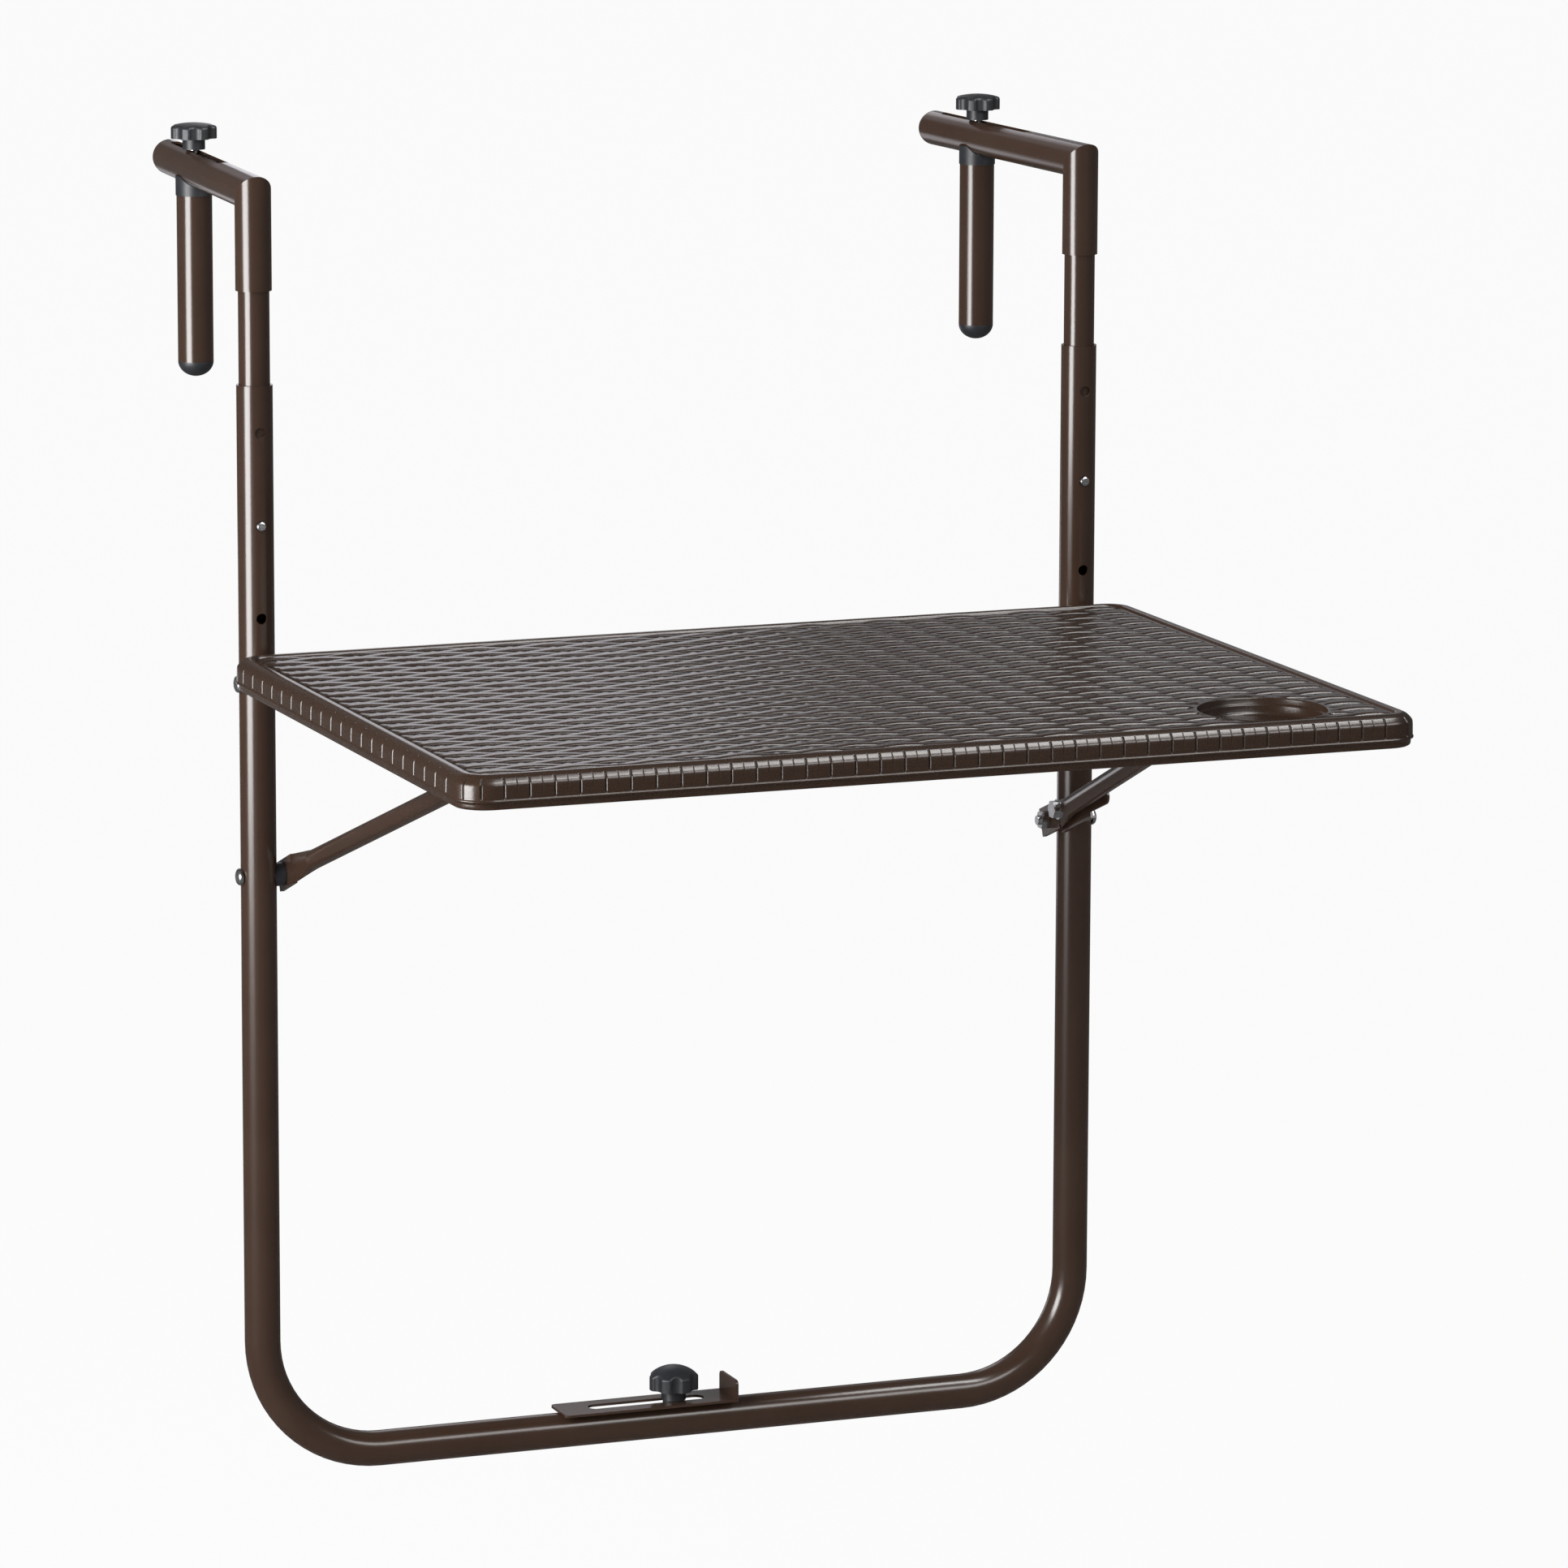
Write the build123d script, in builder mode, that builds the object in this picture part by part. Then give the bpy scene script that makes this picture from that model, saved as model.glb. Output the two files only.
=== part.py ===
"""Folding balcony table that hooks over a railing, as separate named pieces.

Frame: x runs along the railing, -y points to the person at the table, +z is up.
The origin is the inner corner of the hooks, midway between them: z = 0 is the
underside of the hook arms and y = 0 is the rear face of the uprights.
All sizes are millimetres and degrees.
"""

import os
from math import atan2, cos, degrees, hypot, radians, sin, sqrt, tan

from build123d import *

# Frame tubes
TUBE_OD = 22.0
TUBE_WALL = 1.2
INNER_TUBE_OD = 19.0
INNER_TUBE_WALL = 1.2
HOOK_WALL = 1.4
LEG_SPACING = 540.0
BEND_RADIUS = 75.0

# Levels, measured down from the underside of the hook arms
SLEEVE_DROP = 47.5
LEG_TOP_DROP = 104.5
BUTTON_DROP = 189.5
TABLE_DROP = 284.5
BRACE_PIVOT_DROP = 406.0
BAR_DROP = 773.0

# Height adjustment
HOLE_PITCH = 56.5
HOLE_STEPS = 1
BUTTON_DIAMETER = 6.0
BUTTON_PROUD = 1.8
BUTTON_DOME = 1.2
BUTTON_FLANGE_DIAMETER = 8.0
BUTTON_FLANGE = 1.0
INNER_TUBE_BELOW_BUTTON = 30.0
INNER_TUBE_BELOW_ARM = 8.0
SPRING_THICKNESS = 0.55
SPRING_WIDTH = 6.0
SPRING_LENGTH = 24.0
SPRING_BEND_RADIUS = 3.0

# Hook arms and railing clamps, measured along the arm from the upright's axis
HOOK_TOE_IN = 3.4
ARM_LENGTH = 209.0
ARM_DOME = 9.0
CAP_PLUG = 12.0
CLAMP_REACH = 147.0
SLOT_WIDTH = 7.0
SLOT_FRONT = 70.0
SLOT_TO_CAP = 2.0
SLOT_BACK = ARM_LENGTH - CAP_PLUG - SLOT_TO_CAP
CLAMP_TUBE_LENGTH = 103.0
CLAMP_FOOT_DOME = 9.5
SADDLE_DIAMETER = 23.0
SADDLE_BELOW_ARM = 6.0
SADDLE_EARS = 6.0
SADDLE_PLUG = 18.0

# Fasteners
BOLT_DIAMETER = 6.0
NUT_ACROSS_FLATS = 10.0
NUT_HEIGHT = 5.0
RIVET_HEAD_DIAMETER = 10.5
RIVET_HEAD_HEIGHT = 3.0
RIVET_HEAD_ROUNDING = 2.4
BOLT_TIP = 2.0
STUD_CHAMFER = 0.5
SCREW_DIAMETER = 4.0
SCREW_HEAD_DIAMETER = 8.0
SCREW_HEAD_HEIGHT = 2.4
SCREW_HEAD_ROUNDING = 1.2
SCREW_DEPTH = 9.0

# Star knobs: flat ones on the clamps, a taller domed one on the stop
KNOB_LOBES = 7
KNOB_SCALLOP_RADIUS = 4.6
KNOB_SCALLOP_DEPTH = 2.2
KNOB_LOBE_RADIUS = 1.8
KNOB_EDGE_RADIUS = 1.8
KNOB_STEM = 6.8
KNOB_THREAD_DEPTH = 12.0
CLAMP_KNOB_DIAMETER = 28.5
CLAMP_KNOB_HEAD = 9.5
CLAMP_KNOB_CROWN = 2.0
CLAMP_KNOB_STEM_DIAMETER = 14.0
STOP_KNOB_DIAMETER = 31.0
STOP_KNOB_HEAD = 15.0
STOP_KNOB_CROWN = 6.5
STOP_KNOB_STEM_DIAMETER = 15.5

# Table top
TABLE_OVERHANG = 25.0
TABLE_DEPTH = 434.0
TABLE_THICKNESS = 19.5
TABLE_SETBACK = 20.0
TABLE_CORNER_RADIUS = 20.0
TABLE_EDGE_RADIUS = 6.0
TABLE_SKIN = 2.2
LIP_HEIGHT = 4.0
LIP_INSET = 1.6
FIELD_BORDER = 11.0
FIELD_RECESS = 0.8
CUP_DIAMETER = 72.0
CUP_STEP_DIAMETER = 76.0
CUP_DEPTH = 10.0
CUP_STEP = 4.0
CUP_FROM_SIDE = 79.0
CUP_FROM_FRONT = 54.0
VENT_DIAMETER = 8.0
BOSS_DIAMETER = 12.0

# Table hinge
HINGE_BELOW_TABLE = 2.5
FOLD_ANGLE = 85.0
BRACKET_THICKNESS = 2.5
BRACKET_EYE_RADIUS = 8.0
BRACKET_HEIGHT = 10.0
BRACKET_REACH = 92.0
BRACKET_FLANGE = 20.0
BRACKET_SCREW_PITCH = 32.0

# Folding support brace
BRACE_OD = 12.0
BRACE_WALL = 1.2
BRACE_REACH = 300.0
BRACE_TOE_IN = 5.5
BRACE_BEND_RADIUS = 36.0
BRACE_FLAT_THICKNESS = 2.6
BRACE_FLAT_HEIGHT = 18.0
BRACE_FLAT_BEHIND = 11.0
BRACE_FLAT_AHEAD = 18.0
BRACE_NECK = 28.0
SPACER_DIAMETER = 14.5
SPACER_THICKNESS = 4.5

# Lock lever on the right arm of the brace
LOCK_PIVOT = 38.0
LEVER_THICKNESS = 1.6
LEVER_NOSE = 12.5
LEVER_LENGTH = 92.0
LEVER_RISE = 4.0
LEVER_DROP = 11.0
LEVER_STEP = 4.0
LEVER_STEP_AT = 62.0
LEVER_WEB = 3.2
LEVER_END_RADIUS = 5.0
LOCK_WASHER_DIAMETER = 13.0
LOCK_WASHER_THICKNESS = 1.4
LOCK_HEAD_HEIGHT = 4.0
LOCK_TAIL_HEIGHT = 1.2

# Railing stop on the bottom bar
STOP_WIDTH = 30.0
STOP_THICKNESS = 1.6
STOP_TO_LEFT = 77.0
STOP_TO_RIGHT = 38.0
STOP_TAB = 12.0
STOP_CORNER_RADIUS = 3.0
STOP_SLOT_WIDTH = 11.0
STOP_SLOT_TO_LEFT = 57.0
STOP_SLOT_TO_RIGHT = 20.0
STOP_GUIDE_LENGTH = 14.0

# Clearances
MOVING_GAP = 0.3
RUNNING_FIT = 0.05
SEAT_FIT = 0.05
SIDE_GAP = 0.5
HOLE_GAP = 0.3
POCKET_GAP = 1.5

# Derived places
LEG_X = LEG_SPACING / 2
TUBE_R = TUBE_OD / 2
TUBE_BORE_R = TUBE_R - TUBE_WALL
LEG_Y = -TUBE_R
ARM_Z = TUBE_R
INNER_BORE_R = INNER_TUBE_OD / 2 - INNER_TUBE_WALL
HOOK_BORE_R = min(TUBE_R - HOOK_WALL, INNER_TUBE_OD / 2 + SEAT_FIT)
BOLT_R = BOLT_DIAMETER / 2
BUTTON_Z = -BUTTON_DROP
TABLE_Z = -TABLE_DROP
TABLE_TOP_Z = TABLE_Z + TABLE_THICKNESS
TABLE_BACK_Y = LEG_Y - TABLE_SETBACK
TABLE_FRONT_Y = TABLE_BACK_Y - TABLE_DEPTH
TABLE_MID_Y = (TABLE_BACK_Y + TABLE_FRONT_Y) / 2
TABLE_WIDTH = LEG_SPACING + 2 * TABLE_OVERHANG
HINGE_Z = TABLE_Z - HINGE_BELOW_TABLE
PIVOT_Z = -BRACE_PIVOT_DROP
BAR_Z = -BAR_DROP
LEG_INNER_X = LEG_X - TUBE_R
LEG_OUTER_X = LEG_X + TUBE_R

# Brace geometry: the crossbar lies just under the table
BRACE_R = BRACE_OD / 2
BRACE_RISE = TABLE_Z - MOVING_GAP - BRACE_R - PIVOT_Z
BRACE_LENGTH = hypot(BRACE_REACH, BRACE_RISE)
BRACE_ANGLE = degrees(atan2(BRACE_RISE, BRACE_REACH))
BRACE_FLAT_OUTER_X = LEG_INNER_X - SPACER_THICKNESS - MOVING_GAP
BRACE_FLAT_X = BRACE_FLAT_OUTER_X - BRACE_FLAT_THICKNESS / 2
BRACE_TUBE_START = BRACE_FLAT_AHEAD + BRACE_NECK
ALONG_Y = -cos(radians(BRACE_ANGLE))
ALONG_Z = sin(radians(BRACE_ANGLE))
LOCK_Y = LEG_Y + LOCK_PIVOT * ALONG_Y
LOCK_Z = PIVOT_Z + LOCK_PIVOT * ALONG_Z

os.makedirs("parts", exist_ok=True)


def save(piece, name):
    """Label a finished piece and write it under that name."""
    piece.part.label = name
    export_step(piece.part, f"parts/{name}.step")


def brace_u(along):
    """Distance of the brace arm's axis from the middle plane, at a length along the arm."""
    return BRACE_FLAT_X - along * tan(radians(BRACE_TOE_IN))


def along_x(x, y, z):
    """Plane across a bolt that points along +x."""
    return Plane(origin=(x, y, z), x_dir=(0, 1, 0), z_dir=(1, 0, 0))


def forward_from(x, y, z):
    """Plane facing the front, for holes and buttons."""
    return Plane(origin=(x, y, z), x_dir=(1, 0, 0), z_dir=(0, -1, 0))


def beside_arm(x):
    """Plane beside a brace arm: local x runs along the arm, local y points below it."""
    return Plane(origin=(x, LEG_Y, PIVOT_Z), x_dir=(0, ALONG_Y, ALONG_Z), z_dir=(1, 0, 0))


# Leg frame: one tube bent into a U, drilled for buttons, hinges, brace and stop
with BuildPart() as leg_frame:
    with BuildLine(Plane.XZ.offset(-LEG_Y)) as leg_run:
        FilletPolyline(
            (-LEG_X, -LEG_TOP_DROP),
            (-LEG_X, BAR_Z),
            (LEG_X, BAR_Z),
            (LEG_X, -LEG_TOP_DROP),
            radius=BEND_RADIUS,
        )
    with BuildSketch(Plane(origin=leg_run.line @ 0, z_dir=leg_run.line % 0)):
        Circle(TUBE_R)
        Circle(TUBE_BORE_R, mode=Mode.SUBTRACT)
    sweep()
    for leg_x in (-LEG_X, LEG_X):
        for step in range(-HOLE_STEPS, HOLE_STEPS + 1):
            with BuildSketch(forward_from(leg_x, LEG_Y, BUTTON_Z + step * HOLE_PITCH)):
                Circle(BUTTON_DIAMETER / 2 + HOLE_GAP)
            extrude(amount=TUBE_OD, mode=Mode.SUBTRACT)
    for bolt_z in (HINGE_Z, PIVOT_Z):
        with BuildSketch(along_x(0, LEG_Y, bolt_z)):
            Circle(BOLT_R + SEAT_FIT)
        extrude(amount=LEG_SPACING, both=True, mode=Mode.SUBTRACT)
    with BuildSketch(Plane.XY.offset(BAR_Z)):
        with Locations((0, LEG_Y)):
            Circle(BOLT_R + HOLE_GAP)
    extrude(amount=TUBE_OD, mode=Mode.SUBTRACT)
save(leg_frame, "leg_frame")


def leg_bolts(z, inner_x):
    """Domed bolts through both legs at one level, with tips that end at inner_x."""
    with BuildPart() as bolts:
        with BuildSketch(along_x(inner_x, LEG_Y, z)):
            Circle(BOLT_R)
        extrude(amount=LEG_OUTER_X - inner_x)
        with BuildSketch(along_x(LEG_OUTER_X, LEG_Y, z)):
            Circle(RIVET_HEAD_DIAMETER / 2)
        extrude(amount=RIVET_HEAD_HEIGHT)
        fillet(bolts.edges().group_by(Axis.X)[-1], RIVET_HEAD_ROUNDING)
        mirror(about=Plane.YZ)
    return bolts


def leg_nuts(z, outer_x):
    """Hexagon nuts on those bolts, each facing its leg at outer_x."""
    with BuildPart() as nuts:
        with BuildSketch(along_x(outer_x - NUT_HEIGHT, LEG_Y, z)):
            RegularPolygon(NUT_ACROSS_FLATS / 2, 6, major_radius=False)
            Circle(BOLT_R + SEAT_FIT, mode=Mode.SUBTRACT)
        extrude(amount=NUT_HEIGHT)
        mirror(about=Plane.YZ)
    return nuts


# Table hinge: a bolt through each leg carries the bracket between leg and nut
BRACKET_OUTER_X = LEG_INNER_X - SIDE_GAP
BRACKET_INNER_X = BRACKET_OUTER_X - BRACKET_THICKNESS
HINGE_NUT_X = BRACKET_INNER_X - MOVING_GAP
save(leg_bolts(HINGE_Z, HINGE_NUT_X - NUT_HEIGHT - BOLT_TIP), "hinge_bolts")
save(leg_nuts(HINGE_Z, HINGE_NUT_X), "hinge_nuts")

# Brace pivots: bolt, saddle spacer against the leg, flattened brace end, nut
BRACE_NUT_X = BRACE_FLAT_OUTER_X - BRACE_FLAT_THICKNESS - MOVING_GAP
save(leg_bolts(PIVOT_Z, BRACE_NUT_X - NUT_HEIGHT - BOLT_TIP), "brace_bolts")
save(leg_nuts(PIVOT_Z, BRACE_NUT_X), "brace_nuts")

with BuildPart() as brace_spacers:
    with BuildSketch(along_x(LEG_INNER_X - SPACER_THICKNESS, LEG_Y, PIVOT_Z)):
        Circle(SPACER_DIAMETER / 2)
    extrude(amount=SPACER_THICKNESS + TUBE_R)
    with BuildSketch(Plane.XY.offset(PIVOT_Z)):
        with Locations((LEG_X, LEG_Y)):
            Circle(TUBE_R + SEAT_FIT)
    extrude(amount=SPACER_DIAMETER, both=True, mode=Mode.SUBTRACT)
    with BuildSketch(along_x(0, LEG_Y, PIVOT_Z)):
        Circle(BOLT_R + SEAT_FIT)
    extrude(amount=LEG_X, mode=Mode.SUBTRACT)
    mirror(about=Plane.YZ)
save(brace_spacers, "brace_spacers")

# Nut held inside the bottom bar for the stop's bolt
STOP_NUT_TOP = BAR_Z + sqrt(TUBE_BORE_R**2 - NUT_ACROSS_FLATS**2 / 3) - SEAT_FIT
with BuildPart() as stop_nut:
    with BuildSketch(Plane.XY.offset(STOP_NUT_TOP - NUT_HEIGHT)):
        with Locations((0, LEG_Y)):
            RegularPolygon(NUT_ACROSS_FLATS / 2, 6, major_radius=False)
            Circle(BOLT_R + RUNNING_FIT, mode=Mode.SUBTRACT)
    extrude(amount=NUT_HEIGHT)
save(stop_nut, "stop_nut")


def star_knob(x, y, seat_z, diameter, head, crown, stem_diameter):
    """Star knob standing on seat_z, with a threaded socket from below."""
    head_r = diameter / 2
    head_z = seat_z + KNOB_STEM
    crown_r = (head_r**2 + crown**2) / (2 * crown)
    with BuildPart() as knob:
        with BuildSketch(Plane.XY.offset(head_z)) as star:
            with Locations((x, y)):
                Circle(head_r)
                with PolarLocations(head_r - KNOB_SCALLOP_DEPTH + KNOB_SCALLOP_RADIUS, KNOB_LOBES):
                    Circle(KNOB_SCALLOP_RADIUS, mode=Mode.SUBTRACT)
            fillet(star.vertices(), KNOB_LOBE_RADIUS)
        extrude(amount=head)
        with Locations((x, y, head_z + head - crown_r)):
            Sphere(crown_r, mode=Mode.INTERSECT)
        fillet(knob.faces().sort_by(Axis.Z)[-1].edges(), KNOB_EDGE_RADIUS)
        with BuildSketch(Plane.XY.offset(seat_z)):
            with Locations((x, y)):
                Circle(stem_diameter / 2)
        extrude(amount=KNOB_STEM)
        with BuildSketch(Plane.XY.offset(seat_z)):
            with Locations((x, y)):
                Circle(BOLT_R + SEAT_FIT)
        extrude(amount=KNOB_THREAD_DEPTH, mode=Mode.SUBTRACT)
    return knob


def knob_stud(x, y, seat_z, end_z):
    """Threaded stud held in a knob's socket, down to end_z."""
    with BuildPart() as stud:
        with BuildSketch(Plane.XY.offset(end_z)):
            with Locations((x, y)):
                Circle(BOLT_R)
        extrude(amount=seat_z + KNOB_THREAD_DEPTH - SEAT_FIT - end_z)
        chamfer(stud.edges().group_by(Axis.Z)[0], STUD_CHAMFER)
    return stud


def hook_base(sign):
    """Level plane at an upright's axis, its y direction along the arm that toes in."""
    turn = radians(HOOK_TOE_IN)
    return Plane(
        origin=(sign * LEG_X, LEG_Y, 0),
        x_dir=(cos(turn), sign * sin(turn), 0),
        z_dir=(0, 0, 1),
    )


def hook_side(sign):
    """Upright plane through an arm's axis: local x runs along the arm, local y is up."""
    base = hook_base(sign)
    return Plane(origin=base.origin, x_dir=base.y_dir, z_dir=base.x_dir)


def build_hook(side, sign):
    """Hook, its telescoping tube and its spring button."""
    leg_x = sign * LEG_X
    base = hook_base(sign)
    upright = hook_side(sign)
    with BuildPart() as hook:
        with BuildLine(upright):
            Polyline((0, -SLEEVE_DROP), (0, ARM_Z), (ARM_LENGTH, ARM_Z))
        with BuildSketch(base.offset(-SLEEVE_DROP)):
            Circle(TUBE_R)
            Circle(HOOK_BORE_R, mode=Mode.SUBTRACT)
        sweep(transition=Transition.RIGHT)
        with BuildSketch(base.offset(ARM_Z)):
            with Locations((0, (SLOT_FRONT + SLOT_BACK) / 2)):
                SlotOverall(SLOT_BACK - SLOT_FRONT, SLOT_WIDTH, rotation=90)
        extrude(amount=TUBE_OD, both=True, mode=Mode.SUBTRACT)
    save(hook, f"{side}_hook")

    with BuildPart() as arm_cap:
        with BuildSketch(upright):
            with BuildLine():
                Polyline(
                    (ARM_LENGTH + ARM_DOME, ARM_Z),
                    (ARM_LENGTH - CAP_PLUG, ARM_Z),
                    (ARM_LENGTH - CAP_PLUG, ARM_Z + HOOK_BORE_R - SEAT_FIT),
                    (ARM_LENGTH, ARM_Z + HOOK_BORE_R - SEAT_FIT),
                    (ARM_LENGTH, ARM_Z + TUBE_R),
                )
                EllipticalCenterArc((ARM_LENGTH, ARM_Z), ARM_DOME, TUBE_R, 0, arc_size=90)
            make_face()
        revolve(axis=Axis(upright.from_local_coords((0, ARM_Z, 0)), base.y_dir))
    save(arm_cap, f"{side}_arm_cap")

    inner_bottom = BUTTON_Z - INNER_TUBE_BELOW_BUTTON
    with BuildPart() as inner_tube:
        with BuildSketch(base.offset(inner_bottom)):
            Circle(INNER_TUBE_OD / 2)
            Circle(INNER_BORE_R, mode=Mode.SUBTRACT)
        extrude(amount=-INNER_TUBE_BELOW_ARM - inner_bottom)
        with BuildSketch(forward_from(leg_x, LEG_Y, BUTTON_Z)):
            Circle(BUTTON_DIAMETER / 2 + RUNNING_FIT)
        extrude(amount=TUBE_OD, mode=Mode.SUBTRACT)
    save(inner_tube, f"{side}_inner_tube")

    flange_r = BUTTON_FLANGE_DIAMETER / 2
    flange_front = sqrt(INNER_BORE_R**2 - flange_r**2) - MOVING_GAP
    flange_back = flange_front - BUTTON_FLANGE
    with BuildPart() as snap_button:
        with BuildSketch(forward_from(leg_x, LEG_Y - flange_back, BUTTON_Z)):
            Circle(flange_r)
        extrude(amount=BUTTON_FLANGE)
        with BuildSketch(forward_from(leg_x, LEG_Y - flange_back, BUTTON_Z)):
            Circle(BUTTON_DIAMETER / 2)
        extrude(amount=TUBE_R + BUTTON_PROUD - flange_back)
        fillet(snap_button.edges().group_by(Axis.Y)[0], BUTTON_DOME)
    save(snap_button, f"{side}_snap_button")

    front_leaf = -(flange_back - SPRING_THICKNESS / 2 - SEAT_FIT)
    rear_leaf = sqrt(INNER_BORE_R**2 - SPRING_WIDTH**2 / 4) - SPRING_THICKNESS / 2 - SEAT_FIT
    with BuildPart() as button_spring:
        with BuildLine(Plane.YZ.offset(leg_x)) as spring_run:
            FilletPolyline(
                (LEG_Y + front_leaf, BUTTON_Z + flange_r),
                (LEG_Y + front_leaf, BUTTON_Z - SPRING_LENGTH),
                (LEG_Y + rear_leaf, BUTTON_Z - SPRING_LENGTH),
                (LEG_Y + rear_leaf, BUTTON_Z - flange_r),
                radius=SPRING_BEND_RADIUS,
            )
        with BuildSketch(Plane(origin=spring_run.line @ 0, x_dir=(1, 0, 0), z_dir=spring_run.line % 0)):
            Rectangle(SPRING_WIDTH, SPRING_THICKNESS)
        sweep()
    save(button_spring, f"{side}_button_spring")


def build_clamp(side, sign):
    """Railing clamp that hangs from the arm's slot, with its knob and stud."""
    base = hook_base(sign)
    upright = hook_side(sign)
    hang = base.from_local_coords((0, CLAMP_REACH, 0))
    tube_top = -SADDLE_BELOW_ARM
    tube_bottom = tube_top - CLAMP_TUBE_LENGTH
    plug_r = TUBE_BORE_R - SEAT_FIT
    plug_bottom = tube_top - SADDLE_PLUG
    pocket_flats = NUT_ACROSS_FLATS / 2 + SEAT_FIT
    knob_seat = TUBE_OD + MOVING_GAP

    with BuildPart() as clamp_tube:
        with BuildSketch(base.offset(tube_bottom)):
            with Locations((0, CLAMP_REACH)):
                Circle(TUBE_R)
                Circle(TUBE_BORE_R, mode=Mode.SUBTRACT)
        extrude(amount=CLAMP_TUBE_LENGTH)
    save(clamp_tube, f"{side}_clamp_tube")

    with BuildPart() as clamp_saddle:
        with BuildSketch(base.offset(plug_bottom)):
            with Locations((0, CLAMP_REACH)):
                Circle(plug_r)
        extrude(amount=SADDLE_PLUG)
        with BuildSketch(base.offset(tube_top)):
            with Locations((0, CLAMP_REACH)):
                Circle(SADDLE_DIAMETER / 2)
        extrude(amount=SADDLE_BELOW_ARM + SADDLE_EARS)
        with BuildSketch(Plane(origin=hang, x_dir=base.x_dir, z_dir=base.y_dir)):
            with Locations((0, -ARM_Z)):
                Circle(TUBE_R + MOVING_GAP)
        extrude(amount=SADDLE_DIAMETER, both=True, mode=Mode.SUBTRACT)
        with BuildSketch(base.offset(plug_bottom)):
            with Locations((0, CLAMP_REACH)):
                Circle(BOLT_R + HOLE_GAP)
        extrude(amount=SADDLE_PLUG + TUBE_OD, mode=Mode.SUBTRACT)
        with BuildSketch(base.offset(plug_bottom)):
            with Locations((0, CLAMP_REACH)):
                RegularPolygon(pocket_flats, 6, major_radius=False)
        extrude(amount=NUT_HEIGHT + SEAT_FIT, mode=Mode.SUBTRACT)
    save(clamp_saddle, f"{side}_clamp_saddle")

    with BuildPart() as clamp_nut:
        with BuildSketch(base.offset(plug_bottom)):
            with Locations((0, CLAMP_REACH)):
                RegularPolygon(NUT_ACROSS_FLATS / 2, 6, major_radius=False)
                Circle(BOLT_R + RUNNING_FIT, mode=Mode.SUBTRACT)
        extrude(amount=NUT_HEIGHT)
    save(clamp_nut, f"{side}_clamp_nut")

    with BuildPart() as clamp_foot:
        with BuildSketch(upright):
            with BuildLine():
                Polyline(
                    (CLAMP_REACH, tube_bottom - CLAMP_FOOT_DOME),
                    (CLAMP_REACH, tube_bottom + CAP_PLUG),
                    (CLAMP_REACH + plug_r, tube_bottom + CAP_PLUG),
                    (CLAMP_REACH + plug_r, tube_bottom),
                    (CLAMP_REACH + TUBE_R, tube_bottom),
                )
                EllipticalCenterArc((CLAMP_REACH, tube_bottom), TUBE_R, CLAMP_FOOT_DOME, 270, arc_size=90)
            make_face()
        revolve(axis=Axis(hang, (0, 0, 1)))
    save(clamp_foot, f"{side}_clamp_foot")

    clamp_knob = star_knob(
        hang.X, hang.Y, knob_seat,
        CLAMP_KNOB_DIAMETER, CLAMP_KNOB_HEAD, CLAMP_KNOB_CROWN, CLAMP_KNOB_STEM_DIAMETER,
    )
    save(clamp_knob, f"{side}_clamp_knob")
    save(knob_stud(hang.X, hang.Y, knob_seat, plug_bottom - BOLT_TIP), f"{side}_clamp_stud")


for hook_name, hook_sign in (("left", -1), ("right", 1)):
    build_hook(hook_name, hook_sign)
    build_clamp(hook_name, hook_sign)

# Table top: moulded double-wall panel, hollow inside
CUP_X = TABLE_WIDTH / 2 - CUP_FROM_SIDE
CUP_Y = TABLE_FRONT_Y + CUP_FROM_FRONT
FIELD_Z = TABLE_TOP_Z - FIELD_RECESS
FLANGE_MID_X = BRACKET_INNER_X - BRACKET_FLANGE / 2
FLANGE_MID_Y = (TABLE_BACK_Y + LEG_Y - BRACKET_REACH) / 2
SCREW_PLACES = [
    (sign * FLANGE_MID_X, FLANGE_MID_Y + offset * BRACKET_SCREW_PITCH / 2)
    for sign in (-1, 1)
    for offset in (-1, 1)
]
# Leg pockets: room for the legs in the underside when the table hangs folded
FOLD_SLOPE = tan(radians(90 - FOLD_ANGLE))
POCKET_RISE = (TUBE_R + MOVING_GAP) / cos(radians(90 - FOLD_ANGLE)) - HINGE_BELOW_TABLE
POCKET_LENGTH = POCKET_RISE / FOLD_SLOPE
POCKET_WIDTH = TUBE_OD + 2 * POCKET_GAP

with BuildPart() as table_cavity:
    with BuildSketch(Plane.XY.offset(TABLE_Z + TABLE_SKIN)):
        with Locations((0, TABLE_MID_Y)):
            RectangleRounded(
                TABLE_WIDTH - 2 * (LIP_INSET + TABLE_SKIN),
                TABLE_DEPTH - 2 * (LIP_INSET + TABLE_SKIN),
                TABLE_CORNER_RADIUS - LIP_INSET - TABLE_SKIN,
            )
    extrude(amount=TABLE_THICKNESS - 2 * TABLE_SKIN - FIELD_RECESS)
    fillet(table_cavity.edges().group_by(Axis.Z)[-1], TABLE_EDGE_RADIUS)
    with BuildSketch(Plane.XY.offset(TABLE_Z)):
        with Locations((CUP_X, CUP_Y)):
            Circle(CUP_STEP_DIAMETER / 2 + TABLE_SKIN)
        with Locations(*SCREW_PLACES):
            Circle(BOSS_DIAMETER / 2)
        with Locations((-LEG_X, TABLE_BACK_Y), (LEG_X, TABLE_BACK_Y)):
            Rectangle(POCKET_WIDTH + 2 * TABLE_SKIN, 2 * (POCKET_LENGTH + TABLE_SKIN))
    extrude(amount=TABLE_THICKNESS, mode=Mode.SUBTRACT)

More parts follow.
